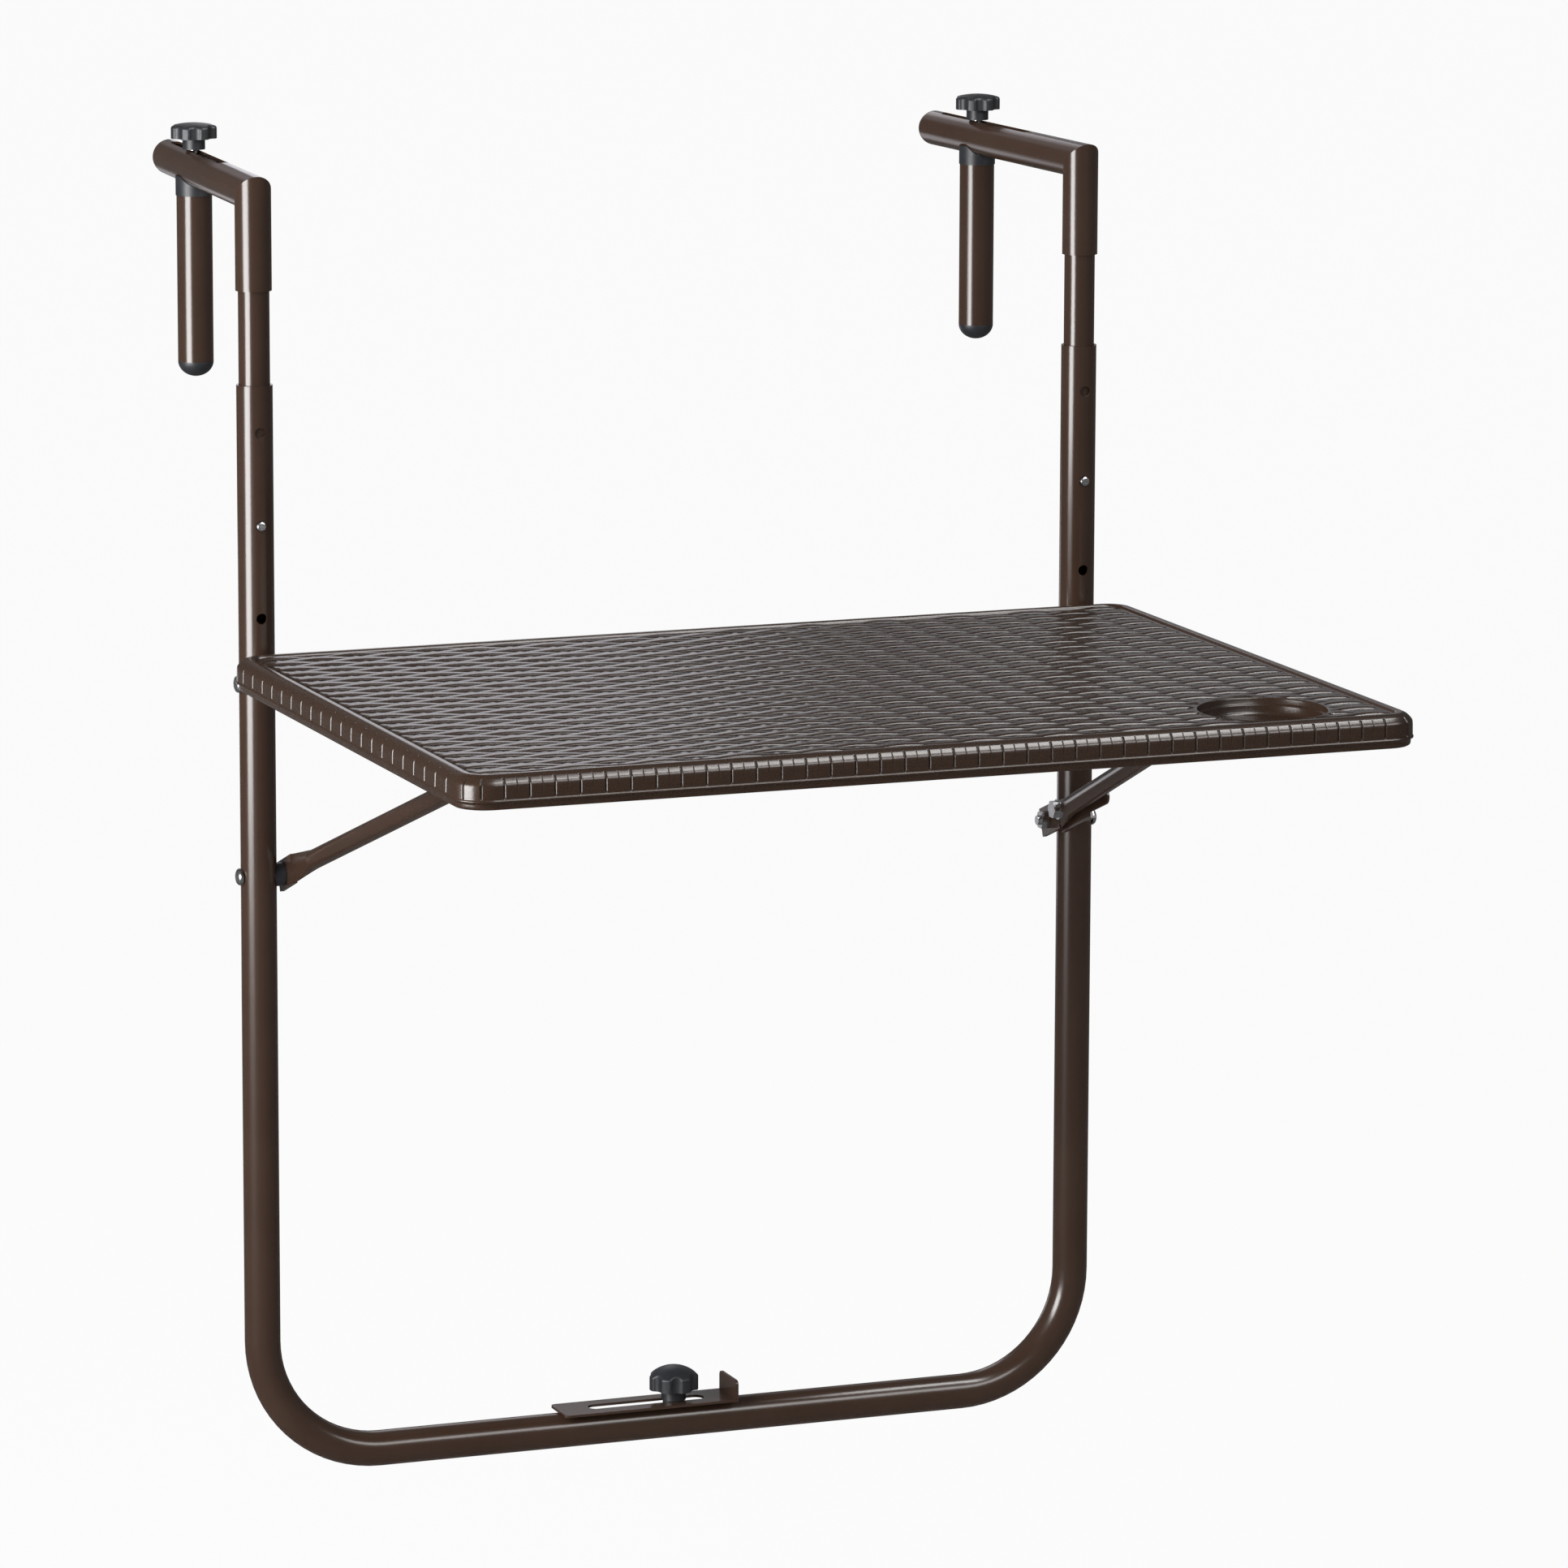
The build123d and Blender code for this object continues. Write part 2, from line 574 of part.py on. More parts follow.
with BuildPart() as table_top:
    with BuildSketch(Plane.XY.offset(TABLE_Z)):
        with Locations((0, TABLE_MID_Y)):
            RectangleRounded(
                TABLE_WIDTH - 2 * LIP_INSET,
                TABLE_DEPTH - 2 * LIP_INSET,
                TABLE_CORNER_RADIUS - LIP_INSET,
            )
    extrude(amount=LIP_HEIGHT)
    with BuildSketch(Plane.XY.offset(TABLE_Z + LIP_HEIGHT)):
        with Locations((0, TABLE_MID_Y)):
            RectangleRounded(TABLE_WIDTH, TABLE_DEPTH, TABLE_CORNER_RADIUS)
    extrude(amount=TABLE_THICKNESS - LIP_HEIGHT)
    fillet(table_top.edges().group_by(Axis.Z)[-1], TABLE_EDGE_RADIUS)
    with BuildSketch(Plane.XY.offset(FIELD_Z)):
        with Locations((0, TABLE_MID_Y)):
            RectangleRounded(
                TABLE_WIDTH - 2 * FIELD_BORDER,
                TABLE_DEPTH - 2 * FIELD_BORDER,
                TABLE_CORNER_RADIUS - FIELD_BORDER,
            )
    extrude(amount=FIELD_RECESS, mode=Mode.SUBTRACT)
    with BuildSketch(Plane.XY.offset(TABLE_TOP_Z)):
        with Locations((CUP_X, CUP_Y)):
            Circle(CUP_STEP_DIAMETER / 2)
    extrude(amount=-CUP_STEP, mode=Mode.SUBTRACT)
    with BuildSketch(Plane.XY.offset(TABLE_TOP_Z)):
        with Locations((CUP_X, CUP_Y)):
            Circle(CUP_DIAMETER / 2)
    extrude(amount=-CUP_DEPTH, mode=Mode.SUBTRACT)
    for leg_x in (-LEG_X, LEG_X):
        with BuildSketch(Plane.YZ.offset(leg_x)):
            with BuildLine():
                Polyline(
                    (LEG_Y, TABLE_Z),
                    (LEG_Y, TABLE_Z + POCKET_RISE),
                    (LEG_Y - POCKET_LENGTH, TABLE_Z),
                    close=True,
                )
            make_face()
        extrude(amount=POCKET_WIDTH / 2, both=True, mode=Mode.SUBTRACT)
    with BuildSketch(Plane.XY.offset(TABLE_Z)):
        with Locations(*SCREW_PLACES):
            Circle(SCREW_DIAMETER / 2 + SEAT_FIT)
    extrude(amount=SCREW_DEPTH + SEAT_FIT, mode=Mode.SUBTRACT)
    add(table_cavity.part, mode=Mode.SUBTRACT)
    with BuildSketch(Plane.XY.offset(TABLE_Z)):
        with Locations((0, TABLE_MID_Y)):
            Circle(VENT_DIAMETER / 2)
    extrude(amount=2 * TABLE_SKIN, mode=Mode.SUBTRACT)
save(table_top, "table_top")

for bracket_side, sign in (("left", -1), ("right", 1)):
    plate_inner = sign * BRACKET_INNER_X
    with BuildPart() as hinge_bracket:
        with BuildSketch(Plane.YZ.offset(plate_inner)):
            with Locations((LEG_Y, HINGE_Z)):
                Circle(BRACKET_EYE_RADIUS)
            with Locations((LEG_Y - BRACKET_REACH / 2, TABLE_Z - BRACKET_HEIGHT / 2)):
                Rectangle(BRACKET_REACH, BRACKET_HEIGHT)
            with Locations((LEG_Y, HINGE_Z)):
                Circle(BOLT_R + RUNNING_FIT, mode=Mode.SUBTRACT)
        extrude(amount=sign * BRACKET_THICKNESS)
        with BuildSketch(Plane.XY.offset(TABLE_Z - BRACKET_THICKNESS)):
            with Locations((sign * FLANGE_MID_X, FLANGE_MID_Y)):
                Rectangle(BRACKET_FLANGE, TABLE_BACK_Y - LEG_Y + BRACKET_REACH)
            with Locations(*SCREW_PLACES):
                Circle(SCREW_DIAMETER / 2 + HOLE_GAP, mode=Mode.SUBTRACT)
        extrude(amount=BRACKET_THICKNESS)
    save(hinge_bracket, f"{bracket_side}_hinge_bracket")

with BuildPart() as bracket_screws:
    with BuildSketch(Plane.XY.offset(TABLE_Z - BRACKET_THICKNESS)):
        with Locations(*SCREW_PLACES):
            Circle(SCREW_DIAMETER / 2)
    extrude(amount=BRACKET_THICKNESS + SCREW_DEPTH)
    with BuildSketch(Plane.XY.offset(TABLE_Z - BRACKET_THICKNESS)):
        with Locations(*SCREW_PLACES):
            Circle(SCREW_HEAD_DIAMETER / 2)
    extrude(amount=-SCREW_HEAD_HEIGHT)
    fillet(bracket_screws.edges().group_by(Axis.Z)[0], SCREW_HEAD_ROUNDING)
save(bracket_screws, "bracket_screws")

# Support brace: one tube bent into a U with flattened pivot ends
BRACE_PLANE = Plane(
    origin=(0, LEG_Y, PIVOT_Z),
    x_dir=(1, 0, 0),
    z_dir=(0, -ALONG_Z, ALONG_Y),
)
NECK_OVERLAP = BRACE_WALL
LOCK_SEAT_X = brace_u(LOCK_PIVOT) - BRACE_R + BRACE_WALL
with BuildPart() as support_brace:
    with BuildLine(BRACE_PLANE) as brace_run:
        FilletPolyline(
            (-brace_u(BRACE_TUBE_START), BRACE_TUBE_START),
            (-brace_u(BRACE_LENGTH), BRACE_LENGTH),
            (brace_u(BRACE_LENGTH), BRACE_LENGTH),
            (brace_u(BRACE_TUBE_START), BRACE_TUBE_START),
            radius=BRACE_BEND_RADIUS,
        )
    with BuildSketch(Plane(origin=brace_run.line @ 0, z_dir=brace_run.line % 0)):
        Circle(BRACE_R)
        Circle(BRACE_R - BRACE_WALL, mode=Mode.SUBTRACT)
    sweep()
    for sign in (-1, 1):
        for along, half_x, half_z, arm_u in (
            (BRACE_FLAT_AHEAD, BRACE_FLAT_THICKNESS / 2, BRACE_FLAT_HEIGHT / 2, BRACE_FLAT_X),
            (BRACE_TUBE_START + NECK_OVERLAP, BRACE_R, BRACE_R, brace_u(BRACE_TUBE_START)),
        ):
            across = Plane(
                origin=BRACE_PLANE.from_local_coords((sign * arm_u, along, 0)),
                x_dir=(1, 0, 0),
                z_dir=(0, ALONG_Y, ALONG_Z),
            )
            with BuildSketch(across):
                Ellipse(half_x, half_z)
        loft()
        with BuildSketch(beside_arm(sign * BRACE_FLAT_X)):
            with Locations(((BRACE_FLAT_AHEAD - BRACE_FLAT_BEHIND) / 2, 0)):
                Rectangle(BRACE_FLAT_AHEAD + BRACE_FLAT_BEHIND, BRACE_FLAT_HEIGHT)
        extrude(amount=BRACE_FLAT_THICKNESS / 2, both=True)
    with BuildSketch(along_x(0, LEG_Y, PIVOT_Z)):
        Circle(BOLT_R + RUNNING_FIT)
    extrude(amount=LEG_SPACING, both=True, mode=Mode.SUBTRACT)
    with BuildSketch(along_x(LOCK_SEAT_X, LOCK_Y, LOCK_Z)):
        Circle(BOLT_R + SEAT_FIT)
    extrude(amount=LEG_X - LOCK_SEAT_X, mode=Mode.SUBTRACT)
    with BuildSketch(along_x(LOCK_SEAT_X, LOCK_Y, LOCK_Z)):
        Circle(LOCK_WASHER_DIAMETER / 2 + HOLE_GAP)
    extrude(amount=-BRACE_OD, mode=Mode.SUBTRACT)
save(support_brace, "support_brace")

# Lock lever beside the right arm, on a bolt through the arm
LEVER_X = brace_u(BRACE_TUBE_START) + BRACE_R + MOVING_GAP
with BuildPart() as lock_lever:
    with BuildSketch(beside_arm(LEVER_X)):
        with BuildLine():
            Polyline(
                (LEVER_NOSE, -LEVER_RISE),
                (LEVER_LENGTH, -LEVER_RISE),
                (LEVER_LENGTH, LEVER_DROP - LEVER_STEP),
                (LEVER_STEP_AT, LEVER_DROP - LEVER_STEP),
                (LEVER_STEP_AT, LEVER_DROP),
                (LEVER_NOSE, LEVER_DROP),
                close=True,
            )
        make_face()
        with Locations((LOCK_PIVOT, 0)):
            Circle(BOLT_R + RUNNING_FIT, mode=Mode.SUBTRACT)
    extrude(amount=LEVER_THICKNESS)
    with BuildSketch(beside_arm(LEVER_X)):
        with Locations(((LEVER_NOSE + LEVER_STEP_AT) / 2, LEVER_DROP - LEVER_THICKNESS / 2)):
            Rectangle(LEVER_STEP_AT - LEVER_NOSE, LEVER_THICKNESS)
    extrude(amount=LEVER_WEB)
    fillet(lock_lever.edges().filter_by(Axis.X).group_by(Axis.Y)[0], LEVER_END_RADIUS)
save(lock_lever, "lock_lever")

LOCK_TAIL_X = LEVER_X + LEVER_THICKNESS + MOVING_GAP
with BuildPart() as lock_bolt:
    with BuildSketch(along_x(LOCK_SEAT_X - LOCK_WASHER_THICKNESS, LOCK_Y, LOCK_Z)):
        Circle(BOLT_R)
    extrude(amount=LOCK_TAIL_X - LOCK_SEAT_X + LOCK_WASHER_THICKNESS)
    with BuildSketch(along_x(LOCK_SEAT_X - LOCK_WASHER_THICKNESS, LOCK_Y, LOCK_Z)):
        RegularPolygon(NUT_ACROSS_FLATS / 2, 6, major_radius=False)
    extrude(amount=-LOCK_HEAD_HEIGHT)
    with BuildSketch(along_x(LOCK_TAIL_X, LOCK_Y, LOCK_Z)):
        Circle(NUT_ACROSS_FLATS / 2)
    extrude(amount=LOCK_TAIL_HEIGHT)
save(lock_bolt, "lock_bolt")

with BuildPart() as lock_washer:
    with BuildSketch(along_x(LOCK_SEAT_X - LOCK_WASHER_THICKNESS, LOCK_Y, LOCK_Z)):
        Circle(LOCK_WASHER_DIAMETER / 2)
        Circle(BOLT_R + SEAT_FIT, mode=Mode.SUBTRACT)
    extrude(amount=LOCK_WASHER_THICKNESS)
save(lock_washer, "lock_washer")

# Railing stop: slotted plate with an upturned tab, held on the bar by a star knob
STOP_Z = BAR_Z + TUBE_R + MOVING_GAP
STOP_SEAT = STOP_Z + STOP_THICKNESS + MOVING_GAP
with BuildPart() as stop_plate:
    with BuildSketch(Plane.XY.offset(STOP_Z)):
        with Locations(((STOP_TO_RIGHT - STOP_TO_LEFT) / 2, LEG_Y)):
            Rectangle(STOP_TO_RIGHT + STOP_TO_LEFT, STOP_WIDTH)
    extrude(amount=STOP_THICKNESS)
    with BuildSketch(Plane.XY.offset(STOP_Z)):
        with Locations((STOP_TO_RIGHT - STOP_THICKNESS / 2, LEG_Y)):
            Rectangle(STOP_THICKNESS, STOP_WIDTH)
    extrude(amount=STOP_THICKNESS + STOP_TAB)
    fillet(stop_plate.edges().filter_by(Axis.Z).group_by(Axis.X)[0], STOP_CORNER_RADIUS)
    fillet(stop_plate.edges().filter_by(Axis.X).group_by(Axis.Z)[-1], STOP_CORNER_RADIUS)
    with BuildSketch(Plane.XY.offset(STOP_Z)):
        with Locations(((STOP_SLOT_TO_RIGHT - STOP_SLOT_TO_LEFT) / 2, LEG_Y)):
            SlotOverall(STOP_SLOT_TO_RIGHT + STOP_SLOT_TO_LEFT, STOP_SLOT_WIDTH)
    extrude(amount=STOP_THICKNESS, mode=Mode.SUBTRACT)
save(stop_plate, "stop_plate")

with BuildPart() as stop_guide:
    with BuildSketch(Plane.XY.offset(STOP_Z)):
        with Locations((0, LEG_Y)):
            SlotOverall(STOP_GUIDE_LENGTH, STOP_SLOT_WIDTH - 2 * RUNNING_FIT)
            Circle(BOLT_R + RUNNING_FIT, mode=Mode.SUBTRACT)
    extrude(amount=STOP_THICKNESS)
save(stop_guide, "stop_guide")

stop_knob = star_knob(
    0, LEG_Y, STOP_SEAT,
    STOP_KNOB_DIAMETER, STOP_KNOB_HEAD, STOP_KNOB_CROWN, STOP_KNOB_STEM_DIAMETER,
)
save(stop_knob, "stop_knob")
save(knob_stud(0, LEG_Y, STOP_SEAT, STOP_NUT_TOP - NUT_HEIGHT - BOLT_TIP), "stop_stud")
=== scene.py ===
import math

import bpy
import numpy as np
from mathutils import Matrix, Vector


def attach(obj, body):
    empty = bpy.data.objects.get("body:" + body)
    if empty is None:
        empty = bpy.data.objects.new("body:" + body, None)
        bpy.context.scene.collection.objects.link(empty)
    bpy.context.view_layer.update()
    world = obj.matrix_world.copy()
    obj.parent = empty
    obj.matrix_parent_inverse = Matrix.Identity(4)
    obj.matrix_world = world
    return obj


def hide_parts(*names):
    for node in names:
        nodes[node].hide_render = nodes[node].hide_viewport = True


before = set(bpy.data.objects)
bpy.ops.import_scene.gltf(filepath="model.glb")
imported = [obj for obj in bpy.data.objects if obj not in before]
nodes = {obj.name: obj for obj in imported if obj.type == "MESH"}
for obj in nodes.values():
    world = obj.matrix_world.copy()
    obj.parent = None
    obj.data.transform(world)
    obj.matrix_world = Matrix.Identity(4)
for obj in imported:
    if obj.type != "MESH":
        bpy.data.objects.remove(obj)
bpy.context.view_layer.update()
scene = bpy.context.scene

MM = 0.001

# Table panel, in millimetres, as in the part: outline, levels and the cup recess.
HALF_WIDTH = 295.0
REAR_Y = -31.0
FRONT_Y = -465.0
CORNER_R = 20.0
TOP_Z = -265.0
BOTTOM_Z = -284.5
CENTRE_Y = (REAR_Y + FRONT_Y) / 2
HALF_DEPTH = (REAR_Y - FRONT_Y) / 2
CUP_X, CUP_Y = 216.0, -411.0
CUP_R, CUP_LOWER_R = 38.0, 36.0
CUP_STEP, CUP_DEPTH = 4.8, 10.8
VENT_R = 4.0

# Woven relief: stakes run front to back, the strands run across them.
STAKE_PITCH = 24.55
ROW_PITCH = 9.45
ROW_ORIGIN = -376.7
STAKE_HALF = 3.2
STAKE_LEVEL, STAKE_ROUND, STAKE_HUMP = -0.3, 0.8, 0.35
WAVE = 0.66
CROWN = 0.85
GAP_START, GAP_DROP = 0.985, 2.4
CREST_GAP = 0.3
# Grid lines of the woven field, as shares of a row from its middle, and in millimetres from a stake.
ROW_MARKS = (-0.93, -0.8, -0.5, 0.0, 0.5, 0.8, 0.93, 1.0)
STAKE_MARKS = (-10.4, -8.2, -6.2, -4.7, -3.7, -2.9, -1.6, 0.0, 1.6, 2.9, 3.7, 4.7, 6.2, 8.2, 10.4, 12.275)
# Border of the woven field: gap to the gutter, width of the fade, drop at the edge, and the outer cells.
FIELD_GAP = 0.6
BORDER_FADE, BORDER_DROP = 2.2, 1.9
BORDER_CELL, BORDER_CLEAR = 1.0, 1.4
# Smooth margin round the cup: width, width of the fade, and drop below the crests.
CUP_MARGIN, CUP_FADE, CUP_SINK = 1.6, 2.4, 0.9
CUP_TOP = CREST_GAP + CUP_SINK
CUP_AROUND, VENT_AROUND = 144, 48
# Painted shade: a level that darkens the colour in the weave's gaps (0) and keeps it on the crests (1), and
# its level on plain surfaces.
SHADE_DEPTH_RANGE = GAP_DROP + 0.2
MARGIN_SHADE, CUP_SHADE, VENT_SHADE, UNDERSIDE_SHADE = 0.8, 0.85, 0.8, 0.9

# Rim grooves: a long one at each pitch, and at the front and rear a short one halfway.
FRONT_GROOVE_PITCH = 15.0
SIDE_GROOVE_PITCH = 18.7
LONG_HALF, LONG_DEPTH = 0.75, 0.7
SHORT_HALF, SHORT_DEPTH = 0.38, 0.22
GROOVE_END_MARGIN = 3.0
# Section of a groove, as shares of its half width and of its depth.
GROOVE_PROFILE = ((-1.5, 0.0), (-1.0, 0.0), (-0.85, 0.12), (-0.25, 0.88), (-0.1, 1.0),
                  (0.1, 1.0), (0.25, 0.88), (0.85, 0.12), (1.0, 0.0), (1.5, 0.0))
# Grooves and plain samples on a corner, as shares of its arc.
CORNER_GROOVES = (0.36, 0.72)
CORNER_MARKS = (0.0, 0.1, 0.2, 0.27, 0.54, 0.62, 0.92)


def smoothstep(t):
    t = np.clip(t, 0.0, 1.0)
    return t * t * (3.0 - 2.0 * t)


def new_object(name, verts, faces, smooth=True):
    """A mesh object from points in millimetres."""
    mesh = bpy.data.meshes.new(name)
    points = np.asarray(verts, float) * MM
    mesh.from_pydata(points.tolist(), [], faces)
    mesh.validate()
    if smooth:
        mesh.polygons.foreach_set("use_smooth", np.ones(len(mesh.polygons), bool))
    mesh.update()
    obj = bpy.data.objects.new(name, mesh)
    scene.collection.objects.link(obj)
    return obj


class Builder:
    """Collects points and faces of one mesh, with the level of painted shade at each point."""

    def __init__(self):
        self.verts = []
        self.depth_shade = []
        self.faces = []

    def add(self, points, depth_shade=1.0):
        start = len(self.verts)
        points = np.asarray(points, float)
        self.verts.extend(points.tolist())
        values = np.broadcast_to(np.asarray(depth_shade, float), (len(points),))
        self.depth_shade.extend(values.tolist())
        return np.arange(start, start + len(points))

    def strip(self, lower, upper, flip=False):
        """Quads between two closed loops of the same count."""
        count = len(lower)
        for i in range(count):
            j = (i + 1) % count
            quad = [int(lower[i]), int(lower[j]), int(upper[j]), int(upper[i])]
            self.faces.append(quad[::-1] if flip else quad)

    def zipper(self, first, first_at, second, second_at, flip=False):
        """Triangles between two closed loops, matched by their place round the loop."""
        i = j = 0
        n, m = len(first), len(second)
        while i < n or j < m:
            next_first = first_at[i + 1] if i + 1 < n else first_at[0] + 1.0
            next_second = second_at[j + 1] if j + 1 < m else second_at[0] + 1.0
            a, b = int(first[i % n]), int(second[j % m])
            if j >= m or (i < n and next_first <= next_second):
                tri = [a, int(first[(i + 1) % n]), b]
                i += 1
            else:
                tri = [a, int(second[(j + 1) % m]), b]
                j += 1
            self.faces.append(tri[::-1] if flip else tri)


# The table's outline, anticlockwise as seen from above: the name, length, start and direction of each
# straight side. A rounded corner follows each side.
STRAIGHT_X = 2 * (HALF_WIDTH - CORNER_R)
STRAIGHT_Y = 2 * (HALF_DEPTH - CORNER_R)
ARC = math.pi / 2 * CORNER_R
SIDES = (
    ("front", STRAIGHT_X, (-HALF_WIDTH + CORNER_R, FRONT_Y), (1.0, 0.0)),
    ("right", STRAIGHT_Y, (HALF_WIDTH, FRONT_Y + CORNER_R), (0.0, 1.0)),
    ("rear", STRAIGHT_X, (HALF_WIDTH - CORNER_R, REAR_Y), (-1.0, 0.0)),
    ("left", STRAIGHT_Y, (-HALF_WIDTH, REAR_Y - CORNER_R), (0.0, -1.0)),
)


def rim_stations():
    """Samples round the outline: point, outward normal, and depth of all grooves and of the long ones."""
    stations = []
    long_shape = [(share * LONG_HALF, depth * LONG_DEPTH) for share, depth in GROOVE_PROFILE]
    short_shape = [(share * SHORT_HALF, depth * SHORT_DEPTH) for share, depth in GROOVE_PROFILE]
    for name, length, start, along in SIDES:
        has_short = name in ("front", "rear")
        step = FRONT_GROOVE_PITCH / 2 if has_short else SIDE_GROOVE_PITCH
        outward = (along[1], -along[0])
        count = int((length / 2 - GROOVE_END_MARGIN) // step)
        marks = [(0.0, 0.0, 0.0)]
        for k in range(-count, count + 1):
            centre = length / 2 + k * step
            is_long = k % 2 == 0 or not has_short
            for offset, depth in long_shape if is_long else short_shape:
                marks.append((centre + offset, depth, depth if is_long else 0.0))
        for at, depth, long_depth in marks:
            point = (start[0] + along[0] * at, start[1] + along[1] * at)
            stations.append((point, outward, depth, long_depth))
        corner = (start[0] + along[0] * length - outward[0] * CORNER_R,
                  start[1] + along[1] * length - outward[1] * CORNER_R)
        base = math.atan2(outward[1], outward[0])
        arc_marks = [(share, 0.0) for share in CORNER_MARKS]
        for centre in CORNER_GROOVES:
            arc_marks += [(centre + offset / ARC, depth) for offset, depth in long_shape]
        for share, depth in sorted(arc_marks):
            angle = base + share * math.pi / 2
            normal = (math.cos(angle), math.sin(angle))
            point = (corner[0] + CORNER_R * normal[0], corner[1] + CORNER_R * normal[1])
            stations.append((point, normal, depth, depth))
    return stations


# Rim section from the gutter beside the weave, over the top and down to the underside: inward distance
# from the outer face, drop below the top, and the grooves that cut it (0 none, 1 all, 2 the long ones).
RIM_SECTION = (
    (11.9, 2.1, 0), (11.4, 1.9, 0), (10.9, 1.1, 0), (10.5, 0.45, 0), (9.9, 0.1, 0), (9.2, 0.0, 0),
    (8.0, 0.0, 0), (7.0, 0.06, 0), (6.5, 0.2, 0), (5.7, 0.56, 0), (4.7, 1.08, 0), (3.8, 1.58, 0),
    (3.5, 1.78, 0), (3.25, 2.0, 1), (2.8, 2.44, 1), (2.3, 2.96, 1), (1.8, 3.5, 1), (1.4, 4.0, 1),
    (1.08, 4.5, 1), (0.82, 5.1, 1), (0.65, 5.9, 1), (0.56, 7.0, 1), (0.52, 8.2, 1), (0.5, 9.4, 2),
    (0.48, 10.8, 2), (0.47, 12.0, 2), (0.46, 13.0, 2), (0.45, 13.45, 0), (0.38, 13.62, 0), (0.1, 13.95, 0),
    (0.0, 14.3, 0), (0.0, 14.9, 0), (0.5, 15.2, 0), (1.2, 15.45, 0), (1.5, 15.8, 0), (1.56, 16.6, 0),
    (1.6, 18.0, 0), (1.9, 18.9, 0), (2.6, 19.4, 0), (3.6, 19.5, 0), (6.0, 19.5, 0),
)
# Cup section from its rounded edge, over the ledge and to the dished floor: radius, and drop below the top.
CUP_SECTION = (
    (CUP_R + 1.0, CUP_TOP - 0.25), (CUP_R + 0.5, CUP_TOP - 0.2), (CUP_R + 0.15, CUP_TOP + 0.05),
    (CUP_R, CUP_TOP + 0.5), (CUP_R - 0.15, CUP_STEP - 0.5), (CUP_R - 0.4, CUP_STEP - 0.1),
    (CUP_LOWER_R + 0.5, CUP_STEP), (CUP_LOWER_R + 0.12, CUP_STEP + 0.2), (CUP_LOWER_R, CUP_STEP + 0.7),
    (CUP_LOWER_R - 0.3, CUP_DEPTH - 2.0), (CUP_LOWER_R - 0.9, CUP_DEPTH - 0.7),
    (CUP_LOWER_R - 2.2, CUP_DEPTH - 0.05), (CUP_LOWER_R - 4.0, CUP_DEPTH), (18.0, CUP_DEPTH - 0.15),
    (6.0, CUP_DEPTH - 0.25),
)
# Vent section from the underside inwards: radius and level.
VENT_SECTION = (
    (VENT_R + 2.0, BOTTOM_Z), (VENT_R + 0.4, BOTTOM_Z), (VENT_R, BOTTOM_Z + 0.4), (VENT_R, BOTTOM_Z + 2.2),
)


def weave_height(x, y):
    """Drop of the woven field below its crest: wavy strands side by side, and stakes where they dip."""
    row = np.round((ROW_ORIGIN - y) / ROW_PITCH)
    across = (y - (ROW_ORIGIN - row * ROW_PITCH)) / (ROW_PITCH / 2)
    over = np.where(row % 2 == 0, 1.0, -1.0) * np.cos(math.pi * x / STAKE_PITCH)
    surface = WAVE * over - CROWN * np.abs(across) ** 3
    stake = np.round(x / STAKE_PITCH)
    offset = (x - stake * STAKE_PITCH) / STAKE_HALF
    stake_top = STAKE_LEVEL - STAKE_ROUND * offset**2 - STAKE_HUMP * across**2
    shown = ((stake + row) % 2 == 1) & (np.abs(offset) < 1.0)
    surface = np.where(shown, np.maximum(surface, stake_top), surface)
    surface = np.where(np.abs(across) > GAP_START, WAVE - GAP_DROP, surface)
    return WAVE - surface


def marks_between(half, centre, pitch, offsets):
    """Grid lines at the given offsets from each multiple of the pitch, between the two borders."""
    count = int(half // pitch) + 2
    lines = [centre + k * pitch + offset for k in range(-count, count + 1) for offset in offsets]
    ends = [half - BORDER_CELL, half]
    inner = [at for at in lines if abs(at) < half - BORDER_CLEAR]
    return np.array(sorted([-at for at in ends] + inner + ends))


def cell_corners(cells):
    """Marks the grid points at the corners of the marked cells."""
    marked = np.zeros((cells.shape[0] + 1, cells.shape[1] + 1), bool)
    marked[:-1, :-1] |= cells
    marked[1:, :-1] |= cells
    marked[:-1, 1:] |= cells
    marked[1:, 1:] |= cells
    return marked


def full_turn(count):
    return (np.arange(count) / count - 0.5) * 2 * math.pi


def circle(x, y, radius, level, angles):
    return np.column_stack([x + radius * np.cos(angles), y + radius * np.sin(angles),
                            np.full(len(angles), level)])


def placed(build, loop):
    """A loop round the outline with its points' places, as angles about the panel's middle, least first."""
    away = np.array(build.verts)[loop][:, :2] - np.array([0.0, CENTRE_Y])
    away = away / np.array([HALF_WIDTH, HALF_DEPTH])
    places = np.arctan2(away[:, 1], away[:, 0]) / (2 * math.pi)
    start = int(np.argmin(places))
    return np.roll(loop, -start), np.roll(places, -start)


def add_rim(build):
    """Loops of the rim, from the gutter to the underside."""
    points, normals, all_cut, long_cut = (np.array(column) for column in zip(*rim_stations()))
    cuts = (np.zeros(len(points)), all_cut, long_cut)
    loops = []
    for inward, drop, grooves in RIM_SECTION:
        cut = cuts[grooves]
        ring = points - normals * (inward + cut)[:, None]
        level = np.full(len(ring), TOP_Z - drop)
        # Painted shade in the grooves: the deeper the cut, the darker the colour.
        loops.append(build.add(np.column_stack([ring, level]), 1.0 - cut))
    for lower, upper in zip(loops, loops[1:]):
        build.strip(lower, upper, flip=True)
    return loops


